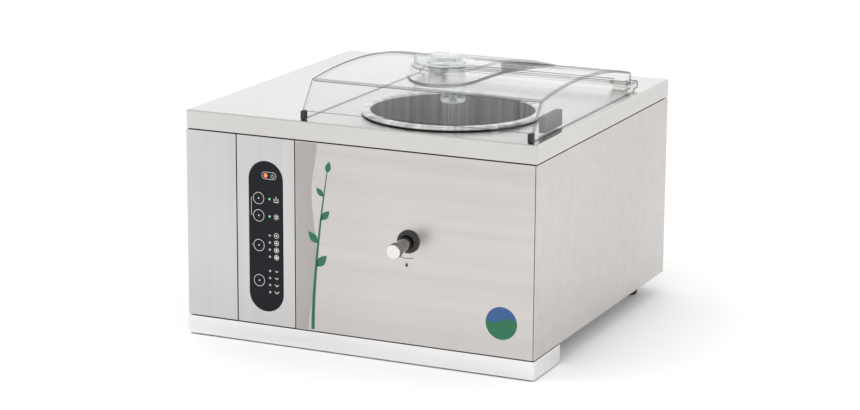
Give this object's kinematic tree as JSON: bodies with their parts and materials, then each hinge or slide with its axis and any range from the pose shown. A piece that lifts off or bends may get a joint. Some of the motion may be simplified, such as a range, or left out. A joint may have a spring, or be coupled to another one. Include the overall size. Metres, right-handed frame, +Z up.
{
  "type": "batch ice cream machine",
  "caption": "Countertop batch ice cream machine: square steel cabinet, fixed bowl under a clear hinged lid with a feed cap, membrane keypad and front drain spout with pull-out plug.",
  "frame": {"origin": "on the surface it stands on, under the middle of its whole width and depth, drain plug and rear inlet included", "axes": "+Z up, front (keypad and drain spout) towards -Y, +X to the right seen from the front"},
  "size_m": [0.45, 0.4806, 0.3559],
  "materials": {
    "brushed_steel": "satin",
    "bowl_steel": "satin",
    "plain_steel": "satin",
    "cast_aluminium": "satin",
    "clear_plastic": "gloss",
    "keypad_film": "satin",
    "keypad_print": "satin",
    "lamp_orange": "gloss",
    "lamp_green": "gloss",
    "lamp_white": "gloss",
    "green_film": "satin",
    "grey_film": "satin",
    "blue_film": "satin",
    "black_film": "satin",
    "black_rubber": "matte",
    "black_plastic": "satin",
    "grey_plastic": "satin",
    "white_plastic": "satin",
    "black_enamel": "gloss",
    "copper": "satin",
    "foam": "matte",
    "circuit_board": "satin"
  },
  "bodies": {
    "cabinet": {"deck": "brushed_steel", "left_panel": "brushed_steel", "right_panel": "brushed_steel", "front_panel": "brushed_steel", "control_fascia": "brushed_steel", "rear_panel": "brushed_steel", "base_pan": "plain_steel", "plinth": "brushed_steel", "foot_front_left": "black_rubber", "foot_front_right": "black_rubber", "foot_rear_left": "black_rubber", "foot_rear_right": "black_rubber", "keypad": "keypad_film", "control_board": "circuit_board", "bowl": "bowl_steel", "bowl_gasket": "black_rubber", "evaporator_coil": "copper", "insulation_jacket": "foam", "drain_pipe": "bowl_steel", "drain_grommet": "black_rubber", "hinge_bracket_left": "grey_plastic", "hinge_pin_left": "plain_steel", "hinge_bracket_right": "grey_plastic", "hinge_pin_right": "plain_steel", "lid_sensor": "black_rubber", "spindle_housing": "cast_aluminium", "drive_belt": "black_rubber", "stirrer_motor": "black_enamel", "drive_bridge": "plain_steel", "compressor": "black_enamel", "compressor_mount_left": "black_rubber", "compressor_mount_right": "black_rubber", "compressor_mount_rear": "black_rubber", "condenser": "cast_aluminium", "fan_shroud": "black_plastic", "fan_motor": "black_enamel", "discharge_line": "copper", "suction_line": "copper", "switch_housing": "black_plastic", "power_inlet": "black_plastic"},
    "lid": {"lid": "clear_plastic", "lid_magnet": "grey_plastic", "lid_pad_left": "black_rubber", "lid_pad_right": "black_rubber"},
    "feed_cap": {"feed_cap": "clear_plastic", "feed_cap_seal": "white_plastic"},
    "stirrer": {"stirrer": "bowl_steel", "stirrer_nut": "clear_plastic", "drive_spindle": "plain_steel", "driven_pulley": "cast_aluminium"},
    "motor_pulley": {"motor_pulley": "cast_aluminium"},
    "fan_rotor": {"fan_rotor": "grey_plastic"},
    "churn_key": {"churn_key": "keypad_film"},
    "cooling_key": {"cooling_key": "keypad_film"},
    "programme_key": {"programme_key": "keypad_film"},
    "storage_key": {"storage_key": "keypad_film"},
    "drain_plug": {"drain_plug": "bowl_steel", "plug_ring_inner": "black_rubber", "plug_ring_outer": "black_rubber"},
    "switch_rocker": {"switch_rocker": "black_plastic"}
  },
  "joints": [
    {"name": "lid_hinge", "type": "hinge", "parent": "cabinet", "child": "lid", "pos_m": [0.07, 0.14562, 0.284], "axis": [-1, 0, 0], "range_deg": [0, 95]},
    {"name": "feed_cap_lift", "type": "slide", "parent": "lid", "child": "feed_cap", "axis": [0, 0, 1], "range_m": [0, 0.045]},
    {"name": "stirrer_spin", "type": "hinge", "parent": "cabinet", "child": "stirrer", "pos_m": [0.067, -0.07638, 0.2], "axis": [0, 0, 1], "continuous": true},
    {"name": "motor_spin", "type": "hinge", "parent": "cabinet", "child": "motor_pulley", "pos_m": [0.067, 0.08162, 0.05], "axis": [0, 0, 1], "continuous": true},
    {"name": "fan_spin", "type": "hinge", "parent": "cabinet", "child": "fan_rotor", "pos_m": [0.062, 0.17762, 0.138], "axis": [0, 1, 0], "continuous": true},
    {"name": "drain_plug_pull", "type": "slide", "parent": "cabinet", "child": "drain_plug", "axis": [0, -0.9976, -0.0698], "range_m": [0, 0.05]},
    {"name": "switch_rock", "type": "hinge", "parent": "cabinet", "child": "switch_rocker", "pos_m": [-0.17, 0.23412, 0.112], "axis": [1, 0, 0], "range_deg": [0, 14]},
    {"name": "churn_press", "type": "slide", "parent": "cabinet", "child": "churn_key", "axis": [0, 1, 0], "range_m": [0, 0.0008], "stiffness_N_per_m": 400},
    {"name": "cooling_press", "type": "slide", "parent": "cabinet", "child": "cooling_key", "axis": [0, 1, 0], "range_m": [0, 0.0008], "stiffness_N_per_m": 400},
    {"name": "programme_press", "type": "slide", "parent": "cabinet", "child": "programme_key", "axis": [0, 1, 0], "range_m": [0, 0.0008], "stiffness_N_per_m": 400},
    {"name": "storage_press", "type": "slide", "parent": "cabinet", "child": "storage_key", "axis": [0, 1, 0], "range_m": [0, 0.0008], "stiffness_N_per_m": 400}
  ],
  "couplings": [
    {"joint": "motor_spin", "follows": "stirrer_spin", "ratio": 3.05}
  ]
}
